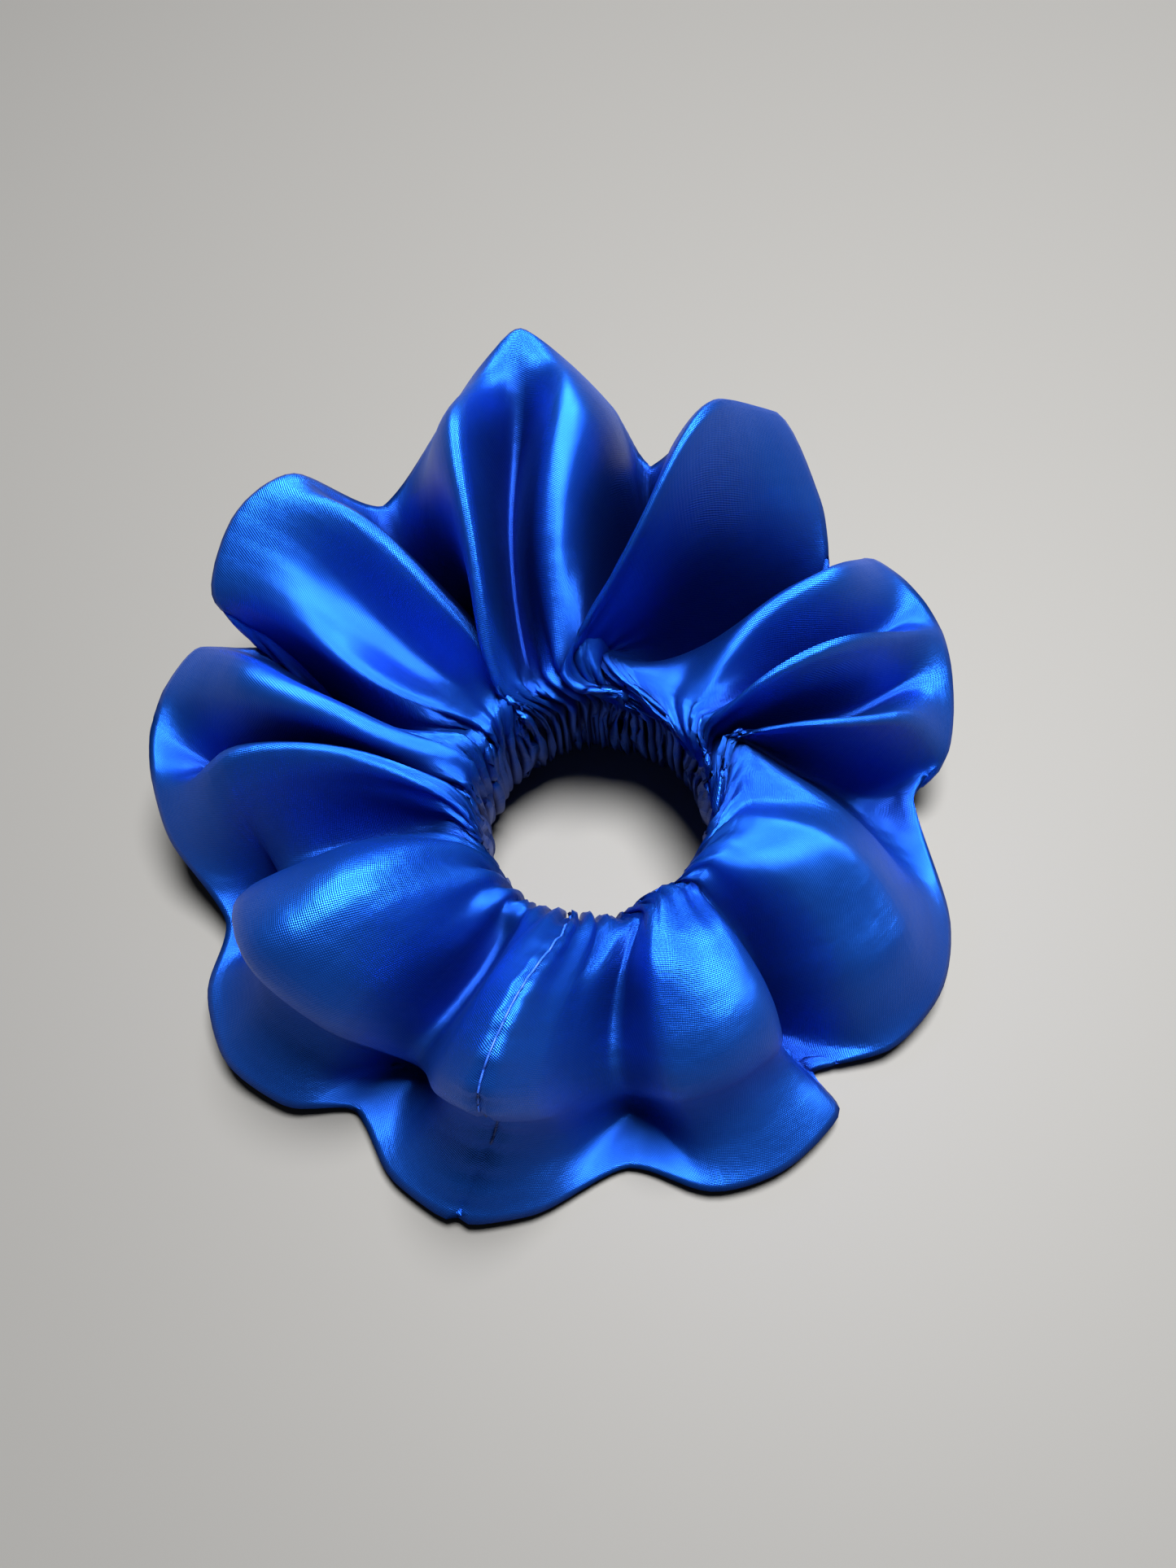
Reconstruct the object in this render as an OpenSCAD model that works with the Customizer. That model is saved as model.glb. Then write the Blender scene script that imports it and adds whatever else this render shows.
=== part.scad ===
// Large satin scrunchie: one wide cloth tube gathered on a short loop of flat elastic.
// The origin is on the axis of the hair opening, at the level of the surface that it lies on.
// +Z points up through the hair opening. Millimetres.

/* [Petals] */
// Number of petals round the ring
petal_count = 9; // [7:1:11]
// Distance from the axis of the hair opening to a petal's tip
petal_reach = 79; // [74:1:84]
// How far the petals are off the middle of the hair opening
opening_shift = 10; // [0:1:12]
// Bearing that they are shifted to
shift_bearing = 130; // [90:5:180]
// Share of the reach that a valley between two petals draws in
valley_reach = 0.08; // [0:0.01:0.15]
// Height of the petals' tips in front
front_tip = 5; // [4:1:12]
// Height of the petals' tips at the back
back_tip = 65; // [50:1:70]
// Share of the height that a valley between two petals drops
valley_height = 0.15; // [0:0.05:0.4]

/* [Casing] */
// Radius of the hair opening, between the gathers
throat_r = 20; // [18:0.5:21]
// Thickness of the folded satin wall
wall = 0.8; // [0.6:0.1:1]
// Swell of the upper face above the line from opening to petal tip
top_swell = 15; // [13:0.5:18]
// Gap between the two halves of the casing
half_gap = 0.3; // [0.2:0.05:0.6]

/* [Elastic] */
// Inside radius of the elastic loop
elastic_r = 24; // [23.5:0.5:25]
// Width of the elastic, which stands upright in the casing
elastic_w = 8; // [6:0.5:9]
// Thickness of the elastic
elastic_t = 1; // [0.8:0.1:1.2]
// Height of the middle of the elastic
elastic_z = 20; // [19:0.5:21]
// Bearing of the middle of the lap where its two ends are sewn together
lap_bearing = 270; // [250:5:290]
// Arc of the lap
lap_arc = 28; // [24:1:34]

/* [Thread] */
// Diameter of the sewing thread
thread_d = 0.5; // [0.4:0.05:0.6]
// Clearance between the thread and the satin
thread_gap = 0.3; // [0.2:0.05:0.4]
// Bearing of the seam that closes the tube's two ends into a ring
closing_bearing = 252; // [248:4:260]

/* [Hidden] */

satin = [0.06, 0.2, 0.72];
seam_blue = [0.03, 0.1, 0.45];
off_white = [0.92, 0.92, 0.88];

bearing_step = 4;      // between the cross-sections of the casing
section_n = 22;        // points around a cross-section
belly_deepest = 30;    // most that the lower face hangs below the line to the petal tip
closing_columns = [2 : 12];    // points of the cross-section that the closing seam's threads pass
long_column = 15;      // point of the cross-section that the long seam follows, underneath
long_gap = 0.5;        // between the long seam's threads and the satin
thread_sides = 8;
thread_r = thread_d / 2;
tack_rows = 5;         // legs of the zigzag across the lap
tack_arc = 9;          // width of the zigzag, in degrees around the ring
tack_edge = 1;         // clear of the elastic's edges
elastic_fn = 96;

// How far a bearing is into a valley: 0 at a petal's tip, 1 between two petals
function valley(a) = (1 - cos(petal_count * (a - 90))) / 2;

// Distance from the axis to the rim
function rim_reach(a) =
    (petal_reach + opening_shift * cos(a - shift_bearing)) * (1 - valley_reach * valley(a));

// Height of the rim: low in front and high at the back
function rim_height(a) =
    (front_tip + (back_tip - front_tip) * pow((1 + sin(a)) / 2, 2)) * (1 - valley_height * valley(a));

// A point of the casing's cross-section, as [distance from the axis, height].
// v is 0 at the petal tip, 90 on the upper face, 180 in the opening and 270 underneath.
function section(a, v, inset) =
    let (
        reach = rim_reach(a),
        tip_z = rim_height(a),
        middle_r = (throat_r + reach) / 2,
        half_r = (reach - throat_r) / 2 - inset,
        line_z = elastic_z + (tip_z - elastic_z) * (1 + cos(v)) / 2,
        belly = min(belly_deepest, (elastic_z + tip_z) / 2 + 2),
        swell = (sin(v) > 0 ? top_swell * min(1, 40 / tip_z) : belly) - inset
    )
    [middle_r + half_r * cos(v), max(line_z + swell * sin(v), inset)];

function place(a, rz) = [rz[0] * cos(a), rz[0] * sin(a), rz[1]];

// Faces of a grid of n rings with m points each, every ring closed on itself
function grid_faces(n, m, first, flip) = [
    for (i = [0 : n - 2], j = [0 : m - 1])
        let (
            p = first + i * m + j,
            q = first + i * m + (j + 1) % m,
            r = p + m,
            s = q + m
        )
        each (flip ? [[p, q, s], [p, s, r]] : [[p, s, q], [p, r, s]])];

// A solid thread along rings of points
module thread_tube(rings) {
    n = len(rings);
    m = len(rings[0]);
    points = [for (ring = rings) each ring];
    start_cap = [[for (j = [0 : m - 1]) j]];
    end_cap = [[for (j = [m - 1 : -1 : 0]) (n - 1) * m + j]];
    polyhedron(points, concat(grid_faces(n, m, 0, false), start_cap, end_cap));
}

// Half of the casing: an outer and an inner skin over 180 degrees, joined at both ends
module casing_half(start) {
    n = 180 / bearing_step + 1;
    m = section_n;
    bearings = [for (i = [0 : n - 1]) start + i * bearing_step];
    outer = [for (a = bearings, j = [0 : m - 1]) place(a, section(a, j * 360 / m, 0))];
    inner = [for (a = bearings, j = [0 : m - 1]) place(a, section(a, j * 360 / m, wall))];
    first_in = n * m;
    last = (n - 1) * m;
    end_faces = [
        for (j = [0 : m - 1])
            let (k = (j + 1) % m)
            each [
                [j, k, first_in + k], [j, first_in + k, first_in + j],
                [last + k, last + j, first_in + last + j],
                [last + k, first_in + last + j, first_in + last + k]]];
    polyhedron(
        concat(outer, inner),
        concat(grid_faces(n, m, 0, false), grid_faces(n, m, first_in, true), end_faces));
}

// A length of thread inside the underside of the casing, to one side of the long seam's line
module long_seam_thread(start, side) {
    v = long_column * 360 / section_n;
    aside = [side * (thread_r + long_gap / 2), 0];
    rings = [
        for (i = [0 : 180 / bearing_step])
            let (
                a = start + i * bearing_step,
                middle = section(a, v, wall + long_gap + thread_r) + aside
            )
            [for (k = [0 : thread_sides - 1])
                let (b = k * 360 / thread_sides)
                place(a, middle + thread_r * [cos(b), sin(b)])]];
    thread_tube(rings);
}

// A thread along the closing seam, at an inset from the outer skin: under zero is outside it
module closing_seam_thread(inset) {
    a = closing_bearing;
    sideways = [-sin(a), cos(a), 0];
    rings = [
        for (j = closing_columns)
            let (v = j * 360 / section_n)
            [for (k = [0 : thread_sides - 1])
                let (b = k * 360 / thread_sides)
                place(a, section(a, v, inset - thread_r * cos(b))) + sideways * thread_r * sin(b)]];
    thread_tube(rings);
}

// An upright strip of the elastic, bent to an arc
module elastic_arc(inside_r, thickness, from, arc) {
    translate([0, 0, elastic_z])
        rotate([0, 0, from])
            rotate_extrude(angle = arc, $fn = elastic_fn)
                translate([inside_r, -elastic_w / 2])
                    square([thickness, elastic_w]);
}

// A zigzag of thread across the lap, at a given distance from the axis
module tack_thread(r) {
    leg_z = (elastic_w - 2 * tack_edge) / tack_rows;
    across = 2 * r * sin(tack_arc / 2);
    leg = norm([across, leg_z]);
    for (i = [0 : tack_rows - 1]) {
        side = (i % 2 == 0) ? 1 : -1;
        z = elastic_z - elastic_w / 2 + tack_edge + (i + 0.5) * leg_z;
        rotate([0, 0, lap_bearing])
            translate([r, 0, z])
                rotate([side * atan2(across, leg_z), 0, 0])
                    cylinder(h = leg + thread_d, r = thread_r, center = true, $fn = 16);
    }
}

module satin_casing_front() {
    color(satin) translate([0, -half_gap / 2, 0]) casing_half(180);
}

module satin_casing_back() {
    color(satin) translate([0, half_gap / 2, 0]) casing_half(0);
}

module elastic_band() {
    // the ring is closed, and the strip's free end lies over its start
    sunk = elastic_t / 4;
    color(off_white) {
        elastic_arc(elastic_r, elastic_t, 0, 360);
        elastic_arc(elastic_r + elastic_t - sunk, elastic_t + sunk, lap_bearing - lap_arc / 2, lap_arc);
    }
}

module elastic_tack_needle_thread() {
    color(off_white) tack_thread(elastic_r + 2 * elastic_t + thread_r / 2);
}

module elastic_tack_bobbin_thread() {
    color(off_white) tack_thread(elastic_r - thread_r);
}

module closing_seam_needle_thread() {
    color(seam_blue) closing_seam_thread(-thread_gap - thread_r);
}

module closing_seam_bobbin_thread() {
    color(seam_blue) closing_seam_thread(wall + thread_gap + thread_r);
}

module long_seam_needle_thread_front() {
    color(seam_blue) translate([0, -half_gap / 2, 0]) long_seam_thread(180, -1);
}

module long_seam_needle_thread_back() {
    color(seam_blue) translate([0, half_gap / 2, 0]) long_seam_thread(0, -1);
}

module long_seam_bobbin_thread_front() {
    color(seam_blue) translate([0, -half_gap / 2, 0]) long_seam_thread(180, 1);
}

module long_seam_bobbin_thread_back() {
    color(seam_blue) translate([0, half_gap / 2, 0]) long_seam_thread(0, 1);
}

satin_casing_front();
satin_casing_back();
elastic_band();
elastic_tack_needle_thread();
elastic_tack_bobbin_thread();
closing_seam_needle_thread();
closing_seam_bobbin_thread();
long_seam_needle_thread_front();
long_seam_needle_thread_back();
long_seam_bobbin_thread_front();
long_seam_bobbin_thread_back();
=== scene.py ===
"""A large royal-blue satin scrunchie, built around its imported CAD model.

The satin casing is a tube of cloth on a grid. It is gathered onto the elastic, drawn towards the
ridges and valleys of its petals by a small cloth solver, and kept off itself, the elastic and the
floor. The solver holds the cloth near its own lengths but not exactly: the petals' tops are drawn
out and the lining is gathered closer than the grid can show. The small gathers round the elastic
and the seams' puckers are added after it. Lengths are millimetres until a mesh is made.
"""
import math

import bpy
import numpy as np
from mathutils import Matrix, Vector


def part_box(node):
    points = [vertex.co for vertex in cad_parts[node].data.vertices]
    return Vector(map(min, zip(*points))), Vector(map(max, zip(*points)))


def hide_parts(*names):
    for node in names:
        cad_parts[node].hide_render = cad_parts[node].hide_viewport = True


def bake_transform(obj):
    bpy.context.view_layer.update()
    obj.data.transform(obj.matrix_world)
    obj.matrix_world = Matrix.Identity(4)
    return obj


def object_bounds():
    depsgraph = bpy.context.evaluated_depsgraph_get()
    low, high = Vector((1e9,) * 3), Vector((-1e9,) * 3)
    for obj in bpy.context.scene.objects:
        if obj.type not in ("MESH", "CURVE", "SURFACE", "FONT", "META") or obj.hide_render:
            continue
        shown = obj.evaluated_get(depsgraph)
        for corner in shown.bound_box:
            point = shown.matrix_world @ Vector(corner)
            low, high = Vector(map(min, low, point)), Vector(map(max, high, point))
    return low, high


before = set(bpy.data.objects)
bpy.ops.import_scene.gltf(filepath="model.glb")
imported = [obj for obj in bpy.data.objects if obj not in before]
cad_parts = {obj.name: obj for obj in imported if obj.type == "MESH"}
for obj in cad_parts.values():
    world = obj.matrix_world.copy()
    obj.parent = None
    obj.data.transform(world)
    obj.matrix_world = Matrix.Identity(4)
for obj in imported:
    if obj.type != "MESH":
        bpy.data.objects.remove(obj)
cad_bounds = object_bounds()

MM = 0.001

# ---------------------------------------------------------------- sizes, from the frame

cad_low, cad_high = (np.array(p) / MM for p in cad_bounds)
elastic_low, elastic_high = (np.array(p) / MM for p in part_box("elastic_band"))
ELASTIC_Z = (elastic_low[2] + elastic_high[2]) / 2
ELASTIC_WIDTH = elastic_high[2] - elastic_low[2]
ELASTIC_R = elastic_high[0]                # outside radius of the loop, away from its lap
ELASTIC_THICK = 1.0
LAP_BEARING = -90.0                        # middle of the lap, in degrees
LAP_ARC = 28.0

TUBE_LENGTH = 600.0                        # of the sewn tube, about that of its free rim
TUBE_GIRTH = 170.0                         # round the sewn tube
FOLD_GAP = 4.0                             # least cloth between two folds
LINING_R = 21.8                            # of the cloth that lines the elastic
LIP_Z = 27.0                               # where the lining turns outwards
ELASTIC_ROOM = 2.0                         # from the elastic's middle to the cloth round it
CLOTH_THICK = 0.3
RELIEF = 0.35                              # how much deeper the folds are drawn, so they settle right
THREAD_R = 0.18
STITCH = 2.6                               # length of one stitch
PUCKER = 5.0                               # between two puckers along the closing seam
GATHERS = 64                               # small gathers round the elastic
GATHER_DEPTH = 1.2
GATHER_REACH = 22.0                        # how far they run out over the cloth
LONG_SEAM = 0.68                           # where the long seam lies, as a share of the girth
TACK_LEGS = 5                              # legs of the zigzag across the lap
TACK_ARC = 9.0                             # width of the zigzag, in degrees
ELASTIC_RIBS = 9                           # raised ribs across the elastic
WEAVE = 0.46                               # pitch of the satin weave

# ---------------------------------------------------------------- the petals
# The petals are nearly evenly spaced round the ring, counter-clockwise from the front one, which holds the
# closing seam. Their rim is an ellipse in the frame's box. For each petal: pleats across it, how far
# it stands up (mm), how deep its pleats are (share of that), how far its root is turned from its tip
# (degrees), how much it hangs over, how hollow its middle is and how pointed its tip is (0 to 1).
PETALS = {
    "seam_petal": (1, 17, 0.4, 0, 1.0, 0.0, 0.5),
    "front_wall": (1, 9, 0.4, 10, 0.7, 0.0, 0.2),
    "right_face": (1, 13, 0.4, 10, 0.0, 0.0, 0.3),
    "rolled_petal": (3, 14, 0.5, 15, 0.0, 0.0, 0.1),
    "leaf": (1, 18, 0.7, 45, 0.0, 0.0, 0.7),
    "top_petal": (2, 16, 0.5, 20, 0.0, 0.0, 0.8),
    "bowl": (1, 16, 0.5, 0, 0.0, 1.0, 0.2),
    "left_rolls": (2, 14, 0.7, 0, 0.3, 0.0, 0.1),
    "left_face": (1, 17, 0.4, 0, 1.0, 0.0, 0.5),
}
PETAL_ARC = 360 / len(PETALS)
FIRST_PETAL = 250.0                        # bearing of the front petal's middle
RIM_CENTRE = ((cad_low + cad_high) / 2)[:2]
RIM_HALF = ((cad_high - cad_low) / 2)[:2]
UNEVEN = 5.0                               # most that a petal is off its even place, in degrees
SWAY = 5.0                                 # how far the petals' faces wander sideways and up
VALLEY_REACH = 0.86                        # how far out the cloth comes between two petals, as a share
FRONT_TIP = 3.0                            # height of the rim in front
BACK_TIP = cad_high[2] - 8.0               # and at the back
SHOULDER = (24.0, 32.0)                    # distance from the axis and height, above the opening

# ---------------------------------------------------------------- cloth simulation


def polar(bearing, out, up):
    b = math.radians(bearing)
    return np.array([out * math.cos(b), out * math.sin(b), up])


def along(points, count):
    """count points evenly spaced along a line with its corners cut once."""
    p = np.asarray(points, float)
    cut = np.empty((2 * len(p) - 2, 3))
    cut[0::2] = 0.75 * p[:-1] + 0.25 * p[1:]
    cut[1::2] = 0.25 * p[:-1] + 0.75 * p[1:]
    p = np.vstack([p[:1], cut, p[-1:]])
    reach = np.r_[0, np.cumsum(np.linalg.norm(np.diff(p, axis=0), axis=1))]
    want = np.linspace(0, reach[-1], count)
    return np.stack([np.interp(want, reach, p[:, k]) for k in range(3)], axis=1)


def fold_spacing(lines):
    """Where each fold is along the tube, as shares of the whole."""
    gaps = np.linalg.norm(np.roll(lines, -1, axis=0) - lines, axis=2).mean(axis=1)
    place = np.r_[0, np.cumsum(np.maximum(gaps, FOLD_GAP))]
    return place / place[-1]


def fold_line(petal, bearing, u):
    """A line from the shoulder to the rim. u is its place across the petal, from -1 to 1."""
    pleats, stand, depth, turn, overhang, hollow, point = petal
    b = math.radians(bearing + u * PETAL_ARC / 2)
    root = math.radians(bearing + u * PETAL_ARC / 2 + turn)
    start = SHOULDER[0] * np.array([math.cos(root), math.sin(root)])
    dome = (1 - point) * math.sqrt(1 - u * u) + point * (1 - abs(u))
    ripple = math.sqrt((1 - math.cos(math.pi * pleats * (u + 1))) / 2)
    reach = VALLEY_REACH + (1 - VALLEY_REACH) * dome
    tip = RIM_CENTRE + RIM_HALF * reach * np.array([math.cos(b), math.sin(b)])
    back = ((1 + math.sin(b)) / 2) ** 2
    tip_z = (FRONT_TIP + (BACK_TIP - FRONT_TIP) * back) * (0.6 + 0.4 * dome)
    lift = stand * (ripple * (1 + depth) - depth) * (1 - 1.5 * hollow * dome)
    points = []
    for t in np.linspace(0, 1, 9):
        roll = math.sin(2 * math.pi * (t - 0.4) / 0.6) if t > 0.4 else 0.0
        flat = start + (tip - start) * (t + 0.16 * overhang * roll)
        fall = ease((t - 0.35 * overhang) / (1 - 0.35 * overhang))
        points.append((*flat, SHOULDER[1] + (tip_z - SHOULDER[1]) * fall + lift * math.sin(math.pi * t)))
    return np.array(points)


def upper_lines():
    """Ridges and valleys in turn, each from its own place on the elastic, evenly gathered."""
    folds = []
    for k, petal in enumerate(PETALS.values()):
        lines = 2 * petal[0] + 2
        middle = FIRST_PETAL + k * PETAL_ARC + UNEVEN * math.sin(2.4 * k)
        folds += [fold_line(petal, middle, 2 * j / lines - 1) for j in range(lines)]
    folds = folds[2:] + folds[:2]              # the closing seam is on the front petal's ridge
    share = fold_spacing(np.array([along(p, 9) for p in folds]))
    lines = []
    for points, turn in zip(folds, share):
        bearing = FIRST_PETAL + 360 * turn
        lining = [polar(bearing, LINING_R, ELASTIC_Z), polar(bearing, LINING_R, LIP_Z)]
        lines.append(np.vstack([*lining, points]))
    return lines


def underside(upper, count):
    """The lower face's line back under a fold, from the opening to the rim."""
    rim, inner = upper[0], upper[-1]
    out = inner[:2] / np.linalg.norm(inner[:2])
    foot = out * 34
    middle = (foot + rim[:2]) / 2
    outer = 0.2 * foot + 0.8 * rim[:2]
    drop = min(28.0, 0.6 * rim[2] + 2)
    return along([
        inner,
        (*(out * 21.8), 12),
        (*(out * 23), 5),
        (*(out * 28), 2),
        (*middle, max(2.0, rim[2] - drop) * 0.6 + 0.8),
        (*outer, max(1.5, rim[2] - 9)),
        rim,
    ], count)


def cubic(a, b, c, d, t, ease=1.0):
    """Catmull-Rom interpolation between b and c; a lower ease is nearer to a straight line."""
    t2, t3 = t * t, t * t * t
    start, end = (1 - ease) * (c - b) + ease * (c - a) / 2, (1 - ease) * (c - b) + ease * (d - b) / 2
    return (2 * t3 - 3 * t2 + 1) * b + (t3 - 2 * t2 + t) * start + (3 * t2 - 2 * t3) * c + (t3 - t2) * end


def fold_surface(ns, nv):
    """The surface through the folds, on the cloth's grid: column 0 is the rim, nv / 2 the opening."""
    half = nv // 2
    lines = []
    for points in upper_lines():
        upper = along(points, half + 1)[::-1]
        lower = underside(upper, half + 1)
        lines.append(np.concatenate([upper, lower[1:-1]]))
    lines = np.array(lines)
    heights = lines[..., 2]
    around = sum(w * np.roll(heights, k, axis=0) for k, w in ((-2, 1), (-1, 2), (1, 2), (2, 1))) / 6
    across = np.clip(np.sin(np.pi * np.arange(nv) / half) * 1.5, 0, 1)
    lines[..., 2] = np.maximum(heights + RELIEF * across * (heights - around), 1.5)
    place = fold_spacing(lines[:, :half // 2])
    place *= ns
    rows = np.empty((ns, nv, 3))
    for i in range(ns):
        k = np.searchsorted(place, i, side="right") - 1
        t = (i - place[k]) / (place[k + 1] - place[k])
        n = len(lines)
        rows[i] = cubic(lines[k - 1], lines[k], lines[(k + 1) % n], lines[(k + 2) % n], t, 0.6)
    turn = 2 * np.pi * np.arange(ns)[:, None] / ns
    out = np.sin(np.pi * np.arange(nv) / nv)[None, :] * np.clip(np.cos(np.pi * np.arange(nv) / nv), 0, 1)
    sway = SWAY * 2 * out * np.sin(5 * turn + 4 * out + 0.6)
    rows[..., 0] -= sway * np.sin(turn + math.radians(FIRST_PETAL))
    rows[..., 1] += sway * np.cos(turn + math.radians(FIRST_PETAL))
    rows[..., 2] += 0.6 * SWAY * 2 * out * np.sin(13 * turn + 9 * out)
    rows[..., 2] = np.maximum(rows[..., 2], 1.5)
    return rows


def refine(x, axis):
    """Twice as many points along a periodic axis, on a smooth curve."""
    before, after, beyond = np.roll(x, 1, axis), np.roll(x, -1, axis), np.roll(x, -2, axis)
    between = cubic(before, x, after, beyond, 0.5)
    shape = list(x.shape)
    shape[axis] *= 2
    return np.stack([x, between], axis=axis + 1).reshape(shape)


class Cloth:
    """A periodic grid of points kept at the cloth's own lengths."""

    def __init__(self, x):
        self.x = x
        self.ns, self.nv = x.shape[:2]
        self.step_s = TUBE_LENGTH / self.ns
        self.step_v = TUBE_GIRTH / self.nv

    def spring(self, shift, parity, rest, tight, slack):
        """Bring every second pair of neighbours to its length. shift is the pair's grid step."""
        x = self.x
        axis = 0 if shift[0] else 1
        a = (slice(parity, None, 2), slice(None)) if axis == 0 else (slice(None), slice(parity, None, 2))
        other = np.roll(x, (-shift[0], -shift[1]), axis=(0, 1))
        gap = other[a] - x[a]
        length = np.sqrt((gap * gap).sum(axis=-1, keepdims=True)) + 1e-9
        move = gap * ((length - rest) / length * 0.5 * np.where(length > rest, tight, slack))
        push = np.zeros_like(x)
        push[a] = move
        x += push - np.roll(push, shift, axis=(0, 1))

    def keep_lengths(self, gathering):
        """Cloth hardly stretches along its threads, but it shears, and it gathers along the tube."""
        across = math.hypot(self.step_s, self.step_v)
        for parity in (0, 1):
            self.spring((0, 1), parity, self.step_v, 1.0, gathering)
            self.spring((1, 0), parity, self.step_s, 1.0, gathering)
        for lean in (1, -1):
            for parity in (0, 1):
                self.spring((1, lean), parity, across, 0.4, 0.05)

    def resist_bending(self, stiffness):
        for axis in (0, 1):
            curve = np.roll(self.x, 1, axis) + np.roll(self.x, -1, axis) - 2 * self.x
            self.x -= stiffness / 16 * (np.roll(curve, 1, axis) + np.roll(curve, -1, axis) - 2 * curve)

    def near_pairs(self, reach):
        """Pairs of points that are close in space but not on the cloth."""
        p = self.x.reshape(-1, 3)
        cell = np.floor(p / reach).astype(np.int64)
        cell -= cell.min(axis=0) - 1
        size = cell.max(axis=0) + 3
        key = (cell[:, 0] * size[1] + cell[:, 1]) * size[2] + cell[:, 2]
        order = np.argsort(key, kind="stable")
        ordered = key[order]
        near = (-1, 0, 1)
        steps = [(a, b, c) for a in near for b in near for c in near if (a, b, c) >= (0, 0, 0)]
        found = []
        for a, b, c in steps:
            wanted = key + (a * size[1] + b) * size[2] + c
            low = np.searchsorted(ordered, wanted, "left")
            count = np.searchsorted(ordered, wanted, "right") - low
            i = np.repeat(np.arange(len(p)), count)
            first = np.repeat(low - np.r_[0, np.cumsum(count)[:-1]], count)
            j = order[np.arange(count.sum()) + first]
            if (a, b, c) == (0, 0, 0):
                i, j = i[i < j], j[i < j]
            close = ((p[i] - p[j]) ** 2).sum(axis=1) < reach * reach
            found.append((i[close], j[close]))
        i = np.concatenate([pair[0] for pair in found])
        j = np.concatenate([pair[1] for pair in found])
        ds = np.abs(i // self.nv - j // self.nv)
        dv = np.abs(i % self.nv - j % self.nv)
        ds = np.minimum(ds, self.ns - ds)
        dv = np.minimum(dv, self.nv - dv)
        apart = ds * ds + dv * dv > 4.5
        return i[apart], j[apart]

    def push_apart(self, pairs, reach):
        p = self.x.reshape(-1, 3)
        i, j = pairs
        gap = p[i] - p[j]
        length = np.sqrt((gap * gap).sum(axis=1)) + 1e-9
        touching = length < reach
        i, j, gap, length = i[touching], j[touching], gap[touching], length[touching]
        push = gap * ((reach - length) * 0.25 / length)[:, None]
        n = len(p)
        total = np.stack(
            [np.bincount(i, push[:, k], n) - np.bincount(j, push[:, k], n) for k in range(3)], axis=1)
        count = np.bincount(i, minlength=n) + np.bincount(j, minlength=n)
        p += total / np.maximum(1, count * 0.5)[:, None]

    def go_round_elastic(self):
        """Keep the elastic inside the tube: the cloth passes within it, over it and under it."""
        x, y, z = self.x[..., 0], self.x[..., 1], self.x[..., 2]
        radius = np.hypot(x, y)
        out, up = radius - (ELASTIC_R - ELASTIC_THICK / 2), z - ELASTIC_Z
        half_width = ELASTIC_WIDTH / 2
        column = np.arange(self.nv) - self.nv // 2
        upper = column <= 0
        inner = np.abs(column) * self.step_v < 6.0
        near = np.sqrt(np.maximum(0.0, ELASTIC_ROOM ** 2 - out ** 2))
        beyond = np.maximum(0.0, np.abs(up) - half_width)
        wall = np.sqrt(np.maximum(0.0, ELASTIC_ROOM ** 2 - beyond ** 2))
        new_up = np.where((near > 0) & ~inner, np.where(upper, np.maximum(up, half_width + near),
                                                        np.minimum(up, -half_width - near)), up)
        inside = (wall > 0) & (inner | (out < -ELASTIC_ROOM / 2))
        new_out = np.where(inside, np.minimum(out, -wall), out)
        scale = (radius + new_out - out) / (radius + 1e-9)
        self.x[..., 0] = x * scale
        self.x[..., 1] = y * scale
        self.x[..., 2] = new_up + ELASTIC_Z

    def settle(self, target, steps, pull, share, reach, bending, weight, gathering):
        """share is each column's part of the pull towards the target; pull(t) its strength in time."""
        for step in range(steps):
            self.x += pull(step / (steps - 1)) * share[None, :, None] * (target - self.x)
            self.x[..., 2] -= weight
            self.keep_lengths(gathering)
            self.resist_bending(bending)
            if step % 4 == 0:
                pairs = self.near_pairs(1.5 * reach)
            self.push_apart(pairs, reach)
            if step > steps * 0.6:
                self.go_round_elastic()
            self.x[..., 2] = np.maximum(self.x[..., 2], 1.0)


def ease(t):
    t = min(1.0, max(0.0, t))
    return t * t * (3 - 2 * t)


def column_share(nv, lower):
    """The upper face and the opening follow the folds; the lower face follows them less."""
    column = np.arange(nv)
    half = nv // 2
    from_opening = np.abs(column - half) * TUBE_GIRTH / nv
    share = np.where(column <= half, 1.0, lower)
    return share * (0.5 + 0.5 * np.clip(from_opening / 12, 0, 1))


def gathered_tube():
    """The tube of cloth gathered on the elastic, as a grid of points in millimetres."""
    ns, nv = 104, 28
    target = fold_surface(ns, nv)
    inner = target[0, nv // 2]
    bearing = math.atan2(inner[1], inner[0]) + 2 * np.pi * np.arange(ns) / ns
    round_tube = 2 * np.pi * np.arange(nv) / nv
    radius = TUBE_LENGTH / (2 * np.pi) - 5 * np.sin(round_tube)
    height = 45 + (TUBE_GIRTH / 4 - 3) * np.cos(round_tube)
    x = np.empty((ns, nv, 3))
    x[..., 0] = np.cos(bearing)[:, None] * radius
    x[..., 1] = np.sin(bearing)[:, None] * radius
    x[..., 2] = height
    cloth = Cloth(x)
    rising = lambda t: 0.01 + 0.15 * ease(1.4 * t)
    cloth.settle(target, 300, rising, column_share(nv, 0.3), 5.2, 0.15, 0.02, 0.5)
    ns, nv = 2 * ns, 2 * nv
    cloth = Cloth(refine(refine(cloth.x, 0), 1))
    target = fold_surface(ns, nv)
    cloth.settle(target, 200, lambda t: 0.3 - 0.1 * t, column_share(nv, 0.25), 2.4, 0.1, 0.005, 0.3)
    ns, nv = 2 * ns, 2 * nv
    cloth = Cloth(refine(refine(cloth.x, 0), 1))
    target = fold_surface(ns, nv)
    cloth.settle(target, 60, lambda t: 0.5 - 0.1 * t, column_share(nv, 0.2), 1.4, 0.15, 0.002, 0.2)
    return cloth.x


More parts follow.
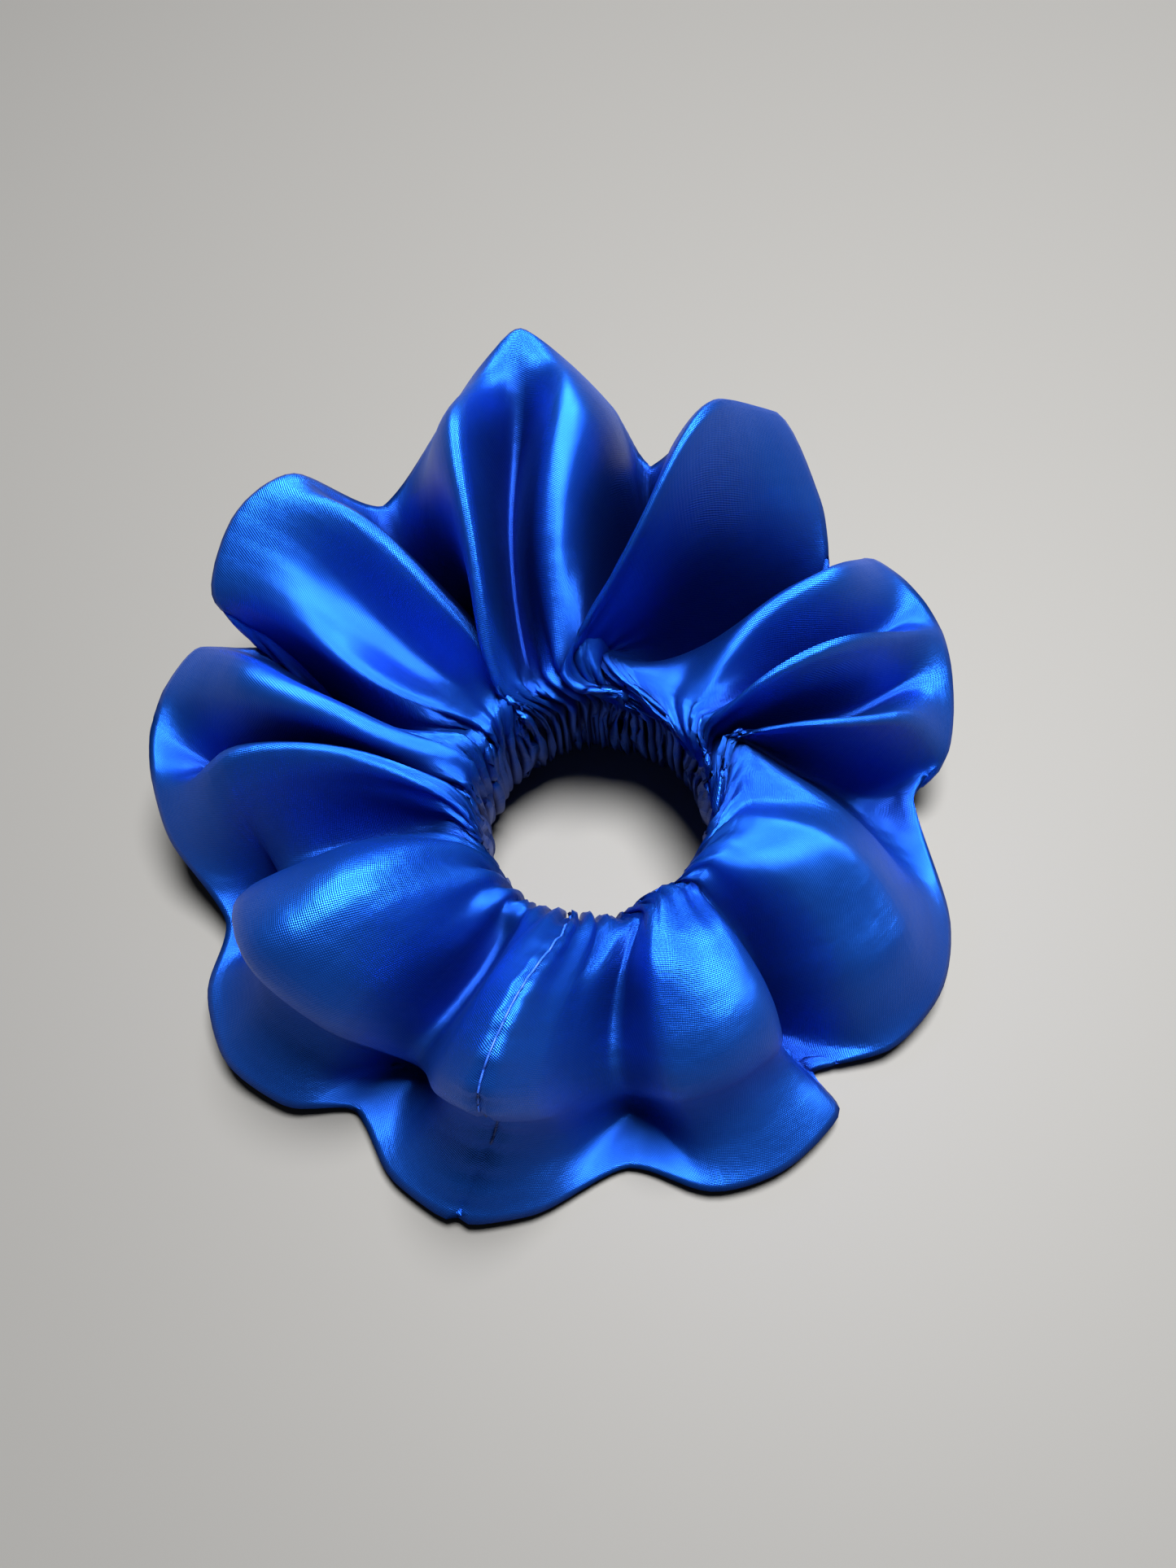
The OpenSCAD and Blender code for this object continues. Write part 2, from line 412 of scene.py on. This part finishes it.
def gather(x):
    """The small gathers that the elastic draws into the cloth, of uneven width and depth."""
    ns, nv = x.shape[:2]
    turn = 2 * np.pi * np.arange(ns)[:, None] / ns
    away = np.abs(np.arange(nv) - nv // 2)[None, :] * TUBE_GIRTH / nv
    phase = GATHERS * turn + 1.7 * np.sin(7 * turn + 0.05 * away) + 0.9 * np.sin(17 * turn - 0.08 * away)
    depth = GATHER_DEPTH * (0.75 + 0.25 * np.sin(11 * turn + 1.0)) * np.exp(-(away / GATHER_REACH) ** 2)
    return x + grid_normals(x) * (depth * np.sin(phase))[..., None]


def sew(x):
    """Draw the cloth in along its seams, with small puckers beside the closing seam."""
    ns, nv = x.shape[:2]
    row = np.arange(ns)
    aside = np.minimum(row, ns - row)[:, None] * TUBE_LENGTH / ns
    along_v = np.arange(nv)[None, :] * TUBE_GIRTH / nv
    puckers = 0.4 * np.cos(2 * np.pi * along_v / PUCKER) * np.exp(-(aside / 4) ** 2)
    closing = puckers - 0.9 * np.exp(-aside ** 2)
    from_long = np.abs(np.arange(nv) - round(LONG_SEAM * nv))[None, :] * TUBE_GIRTH / nv
    return x + grid_normals(x) * (closing - 0.4 * np.exp(-from_long ** 2))[..., None]


# ---------------------------------------------------------------- meshes


def grid_normals(x):
    n = np.cross(np.roll(x, -1, 0) - np.roll(x, 1, 0), np.roll(x, -1, 1) - np.roll(x, 1, 1))
    return n / (np.linalg.norm(n, axis=2, keepdims=True) + 1e-9)


def new_object(name, verts, faces, material):
    mesh = bpy.data.meshes.new(name)
    mesh.from_pydata([tuple(v) for v in verts], [], faces)
    mesh.materials.append(material)
    mesh.polygons.foreach_set("use_smooth", [True] * len(mesh.polygons))
    mesh.update()
    obj = bpy.data.objects.new(name, mesh)
    bpy.context.scene.collection.objects.link(obj)
    return obj


def torus_faces(ns, nv, first, flip):
    i = np.repeat(np.arange(ns), nv)
    j = np.tile(np.arange(nv), ns)
    a, b = first + i * nv + j, first + (i + 1) % ns * nv + j
    c, d = first + (i + 1) % ns * nv + (j + 1) % nv, first + i * nv + (j + 1) % nv
    return np.stack([a, d, c, b] if flip else [a, b, c, d], axis=1)


def casing_object(x, material):
    """The cloth with its thickness: an outer and an inner skin. Corners carry their place on the cloth."""
    ns, nv = x.shape[:2]
    normal = grid_normals(x)
    outer = (x + normal * CLOTH_THICK / 2).reshape(-1, 3)
    inner = (x - normal * CLOTH_THICK / 2).reshape(-1, 3)
    faces = np.vstack([torus_faces(ns, nv, 0, False), torus_faces(ns, nv, ns * nv, True)])
    obj = new_object("satin_casing", np.vstack([outer, inner]) * MM, faces.tolist(), material)
    place = obj.data.attributes.new("cloth_mm", "FLOAT_VECTOR", "CORNER")
    s = np.repeat(np.arange(ns), nv) * TUBE_LENGTH / ns
    v = np.tile(np.arange(nv), ns) * TUBE_GIRTH / nv
    ds, dv = TUBE_LENGTH / ns, TUBE_GIRTH / nv
    corners = np.stack([
        np.stack([s, v], 1), np.stack([s + ds, v], 1),
        np.stack([s + ds, v + dv], 1), np.stack([s, v + dv], 1)], axis=1)
    both = np.concatenate([corners, corners[:, [0, 3, 2, 1]]]).reshape(-1, 2)
    place.data.foreach_set("vector", np.c_[both, np.zeros(len(both))].astype(np.float32).ravel())
    return obj


def tube_object(name, path, radius, material, sides=6):
    """A thread along a path of close points."""
    path = np.asarray(path, float)
    ahead = np.gradient(path, axis=0)
    ahead /= np.linalg.norm(ahead, axis=1, keepdims=True)
    across = np.cross(ahead, (0.31, 0.23, 0.92))
    across /= np.linalg.norm(across, axis=1, keepdims=True)
    other = np.cross(ahead, across)
    n = len(path)
    turn = 2 * np.pi * np.arange(sides) / sides
    rings = path[:, None] + radius * (across[:, None] * np.cos(turn)[None, :, None]
                                      + other[:, None] * np.sin(turn)[None, :, None])
    faces = [
        (i * sides + j, i * sides + (j + 1) % sides, (i + 1) * sides + (j + 1) % sides, (i + 1) * sides + j)
        for i in range(n - 1) for j in range(sides)]
    faces.append(tuple(reversed(range(sides))))
    faces.append(tuple((n - 1) * sides + j for j in range(sides)))
    return new_object(name, rings.reshape(-1, 3) * MM, faces, material)


def stitches(line, normal, side, off):
    """A thread's path along a seam: over the cloth between the stitch holes and into it at each one."""
    reach = np.r_[0, np.cumsum(np.linalg.norm(np.diff(line, axis=0), axis=1))]
    want = np.arange(0, reach[-1], STITCH / 8)
    place = np.stack([np.interp(want, reach, line[:, k]) for k in range(3)], axis=1)
    lean = np.stack([np.interp(want, reach, normal[:, k]) for k in range(3)], axis=1)
    over = np.abs(np.sin(np.pi * want / STITCH)) ** 0.5
    return place + lean * (side * (off + THREAD_R * 1.4 * over))[:, None]


def closing_seam_path(x, side):
    nv = x.shape[1]
    columns = slice(nv // 12, nv * 6 // 11)
    return stitches(x[0, columns], grid_normals(x)[0, columns], side, CLOTH_THICK / 2)


def long_seam_path(x, beside):
    column = round(LONG_SEAM * x.shape[1]) + beside
    return stitches(x[:, column], grid_normals(x)[:, column], -1, CLOTH_THICK / 2 + 0.1)


def elastic_object(material):
    """The strip of elastic, bent round with its end lapped over its start. Its ribs run along it."""
    start = math.radians(LAP_BEARING - LAP_ARC / 2)
    turns = np.linspace(start, start + 2 * np.pi + math.radians(LAP_ARC), 260)
    rise = np.array([ease((t - start - 1.8 * np.pi) / (0.2 * np.pi)) for t in turns])
    middle = ELASTIC_R - ELASTIC_THICK / 2 + ELASTIC_THICK * 1.05 * rise
    across = np.linspace(-1, 1, 4 * ELASTIC_RIBS + 1)
    rib = 0.42 + 0.08 * np.cos(np.pi * across * ELASTIC_RIBS) - 0.15 * across ** 8
    section = [(w, t) for w, t in zip(across, rib)] + [(w, -t) for w, t in zip(across[::-1], rib[::-1])]
    m = len(section)
    verts = [
        ((r + thick) * math.cos(t), (r + thick) * math.sin(t), ELASTIC_Z + wide * ELASTIC_WIDTH / 2)
        for t, r in zip(turns, middle) for wide, thick in section]
    faces = [
        (i * m + j, (i + 1) * m + j, (i + 1) * m + (j + 1) % m, i * m + (j + 1) % m)
        for i in range(len(turns) - 1) for j in range(m)]
    faces.append(tuple(range(m)))
    faces.append(tuple(reversed([(len(turns) - 1) * m + j for j in range(m)])))
    return new_object("elastic_band_piece", np.array(verts) * MM, faces, material)


def tack_path(radius):
    """The zigzag across the elastic's lap, at a distance from the axis."""
    corners = np.arange(TACK_LEGS + 1)
    up = ELASTIC_Z + ELASTIC_WIDTH * 0.8 * (corners / TACK_LEGS - 0.5)
    bearing = np.radians(LAP_BEARING + TACK_ARC / 2 * (-1.0) ** corners)
    want = np.linspace(0, TACK_LEGS, 16 * TACK_LEGS + 1)
    turn = np.interp(want, corners, bearing)
    sink = 0.2 * np.abs(np.cos(np.pi * want))
    return np.stack([(radius - sink) * np.cos(turn), (radius - sink) * np.sin(turn),
                     np.interp(want, corners, up)], axis=1)


def fit(obj, slot, *nodes):
    """The piece stands for its CAD nodes, which are hidden, and its placing is baked into its mesh; slot is
    not used.
    """
    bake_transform(obj)
    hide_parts(*nodes)


# ---------------------------------------------------------------- materials


class Nodes:
    """A short way to write a material's node tree."""

    def __init__(self, name):
        self.material = bpy.data.materials.new(name)
        self.material.use_nodes = True
        self.tree = self.material.node_tree
        self.shader = self.tree.nodes["Principled BSDF"]

    def add(self, kind, settings=None, **inputs):
        node = self.tree.nodes.new(kind)
        for key, value in (settings or {}).items():
            setattr(node, key, value)
        for key, value in inputs.items():
            self.set(node, key.replace("_", " "), value)
        return node

    def set(self, node, socket, value):
        target = node.inputs[socket]
        if isinstance(value, bpy.types.NodeSocket):
            self.tree.links.new(value, target)
        else:
            target.default_value = value

    def math(self, operation, a, b=0.0):
        node = self.add("ShaderNodeMath", {"operation": operation})
        self.set(node, 0, a)
        self.set(node, 1, b)
        return node.outputs[0]


def satin_material():
    n = Nodes("royal_blue_satin")
    place = n.add("ShaderNodeAttribute", {"attribute_name": "cloth_mm"}).outputs["Vector"]
    parts = n.add("ShaderNodeSeparateXYZ", Vector=place)
    s, v = parts.outputs["X"], parts.outputs["Y"]
    turns = 2 * math.pi / WEAVE
    across = n.math("SINE", n.math("MULTIPLY", n.math("ADD", s, n.math("MULTIPLY", v, 0.5)), turns))
    up = n.math("SINE", n.math("MULTIPLY", n.math("SUBTRACT", v, n.math("MULTIPLY", s, 0.5)), turns))
    weave = n.math("MULTIPLY_ADD", n.math("MULTIPLY", across, up), 0.5)
    weave.node.inputs[2].default_value = 0.5
    soft = n.add("ShaderNodeTexNoise", Vector=place, Scale=0.12, Detail=3.0, Roughness=0.55).outputs["Fac"]
    tint = n.add("ShaderNodeMix", {"data_type": "RGBA"})
    n.set(tint, "Factor", soft)
    tint.inputs[6].default_value = (0.008, 0.10, 0.60, 1)
    tint.inputs[7].default_value = (0.013, 0.14, 0.76, 1)
    float_tint = n.add("ShaderNodeMix", {"data_type": "RGBA", "blend_type": "MULTIPLY"})
    n.set(float_tint, "Factor", weave)
    n.set(float_tint, 6, tint.outputs[2])
    float_tint.inputs[7].default_value = (0.55, 0.62, 0.72, 1)
    # Painted shade: where ambient occlusion finds the cloth closed in, in folds and hollows, the base colour
    # is darkened towards deep navy.
    hollow = n.add("ShaderNodeAmbientOcclusion", {"samples": 8}, Distance=0.03).outputs["AO"]
    painted_shade = n.add("ShaderNodeMix", {"data_type": "RGBA", "blend_type": "MIX"})
    n.set(painted_shade, "Factor", n.math("POWER", hollow, 1.3))
    painted_shade.inputs[6].default_value = (0.0005, 0.006, 0.10, 1)
    n.set(painted_shade, 7, float_tint.outputs[2])
    n.set(n.shader, "Base Color", painted_shade.outputs[2])
    bump = n.add("ShaderNodeBump", Strength=0.7, Distance=0.0001, Height=weave)
    creases = n.add("ShaderNodeTexNoise", Vector=place, Scale=0.22, Detail=4.0, Roughness=0.5).outputs["Fac"]
    soft_bump = n.add(
        "ShaderNodeBump", Strength=0.35, Distance=0.0006, Height=creases, Normal=bump.outputs[0])
    n.set(n.shader, "Normal", soft_bump.outputs[0])
    n.shader.inputs["Metallic"].default_value = 0.92
    n.shader.inputs["Roughness"].default_value = 0.39
    return n.material


def elastic_material():
    n = Nodes("braided_elastic")
    place = n.add("ShaderNodeTexCoord").outputs["Object"]
    rows = n.add("ShaderNodeTexWave", {"bands_direction": "Z"}, Vector=place, Scale=160.0, Distortion=0.5)
    tint = n.add("ShaderNodeMix", {"data_type": "RGBA"})
    n.set(tint, "Factor", rows.outputs["Fac"])
    tint.inputs[6].default_value = (0.62, 0.62, 0.58, 1)
    tint.inputs[7].default_value = (0.82, 0.82, 0.78, 1)
    n.set(n.shader, "Base Color", tint.outputs[2])
    bump = n.add("ShaderNodeBump", Strength=0.5, Distance=0.0002, Height=rows.outputs["Fac"])
    n.set(n.shader, "Normal", bump.outputs[0])
    n.shader.inputs["Roughness"].default_value = 0.8
    return n.material


def thread_material(name, dark, light):
    n = Nodes(name)
    place = n.add("ShaderNodeTexCoord").outputs["Object"]
    twist = n.add("ShaderNodeTexWave", {"bands_direction": "DIAGONAL"}, Vector=place, Scale=1500.0)
    tint = n.add("ShaderNodeMix", {"data_type": "RGBA"})
    n.set(tint, "Factor", twist.outputs["Fac"])
    tint.inputs[6].default_value = (*dark, 1)
    tint.inputs[7].default_value = (*light, 1)
    n.set(n.shader, "Base Color", tint.outputs[2])
    bump = n.add("ShaderNodeBump", Strength=0.4, Distance=0.00005, Height=twist.outputs["Fac"])
    n.set(n.shader, "Normal", bump.outputs[0])
    n.shader.inputs["Roughness"].default_value = 0.55
    return n.material


def floor_material():
    n = Nodes("pale_floor")
    n.shader.inputs["Base Color"].default_value = (0.09, 0.089, 0.087, 1)
    n.shader.inputs["Roughness"].default_value = 0.65
    return n.material


# ---------------------------------------------------------------- camera, floor and light


def add_camera():
    data = bpy.data.cameras.new("camera")
    data.sensor_width = 36.0
    data.lens = 27.05
    data.clip_start = 0.01
    camera = bpy.data.objects.new("camera", data)
    camera.location = (-0.0007, -0.093, 0.217)
    camera.rotation_euler = (Matrix.Rotation(math.radians(27.0), 4, "X")
                             @ Matrix.Rotation(math.radians(-7.4), 4, "Z")).to_euler()
    bpy.context.scene.collection.objects.link(camera)
    bpy.context.scene.camera = camera


def add_floor():
    half = 1.5
    corners = [(-half, -half, 0), (half, -half, 0), (half, half, 0), (-half, half, 0)]
    new_object("floor", corners, [(0, 1, 2, 3)], floor_material())


def add_area_light(name, place, size, power, colour):
    data = bpy.data.lights.new(name, "AREA")
    data.shape = "DISK"
    data.size = size
    data.energy = power
    data.color = colour
    light = bpy.data.objects.new(name, data)
    light.location = place
    light.rotation_euler = (-Vector(place)).to_track_quat("-Z", "Y").to_euler()
    bpy.context.scene.collection.objects.link(light)


def add_lights():
    world = bpy.data.worlds.new("studio")
    world.use_nodes = True
    world.node_tree.nodes["Background"].inputs["Color"].default_value = (0.95, 0.97, 1.0, 1)
    world.node_tree.nodes["Background"].inputs["Strength"].default_value = 0.04
    bpy.context.scene.world = world
    bpy.context.scene.view_settings.view_transform = "Standard"
    add_area_light("window", (0.18, 0.22, 0.96), 0.44, 48.0, (1.0, 0.99, 0.97))


# ---------------------------------------------------------------- the scrunchie

add_camera()
add_floor()
add_lights()

tube = sew(gather(gathered_tube()))
tack_thread = thread_material("tack_thread", (0.60, 0.60, 0.56), (0.80, 0.80, 0.76))
seam_thread = thread_material("seam_thread", (0.006, 0.05, 0.34), (0.012, 0.09, 0.52))

casing = casing_object(tube, satin_material())
fit(casing, "satin", "satin_casing_front", "satin_casing_back")

fit(elastic_object(elastic_material()), "elastic", "elastic_band")

for name, radius in {
    "needle": ELASTIC_R + ELASTIC_THICK + THREAD_R,
    "bobbin": ELASTIC_R - ELASTIC_THICK - THREAD_R / 2,
}.items():
    tack = tube_object(f"tack_{name}_zigzag", tack_path(radius), THREAD_R, tack_thread)
    fit(tack, "tack_thread", f"elastic_tack_{name}_thread")

for name, side, beside in (("needle", 1, 0), ("bobbin", -1, 1)):
    closing = tube_object(f"closing_{name}_stitches", closing_seam_path(tube, side), THREAD_R, seam_thread)
    fit(closing, "seam_thread", f"closing_seam_{name}_thread")
    long_seam = tube_object(f"long_{name}_stitches", long_seam_path(tube, beside), THREAD_R, seam_thread, 5)
    fit(long_seam, "seam_thread", f"long_seam_{name}_thread_front", f"long_seam_{name}_thread_back")
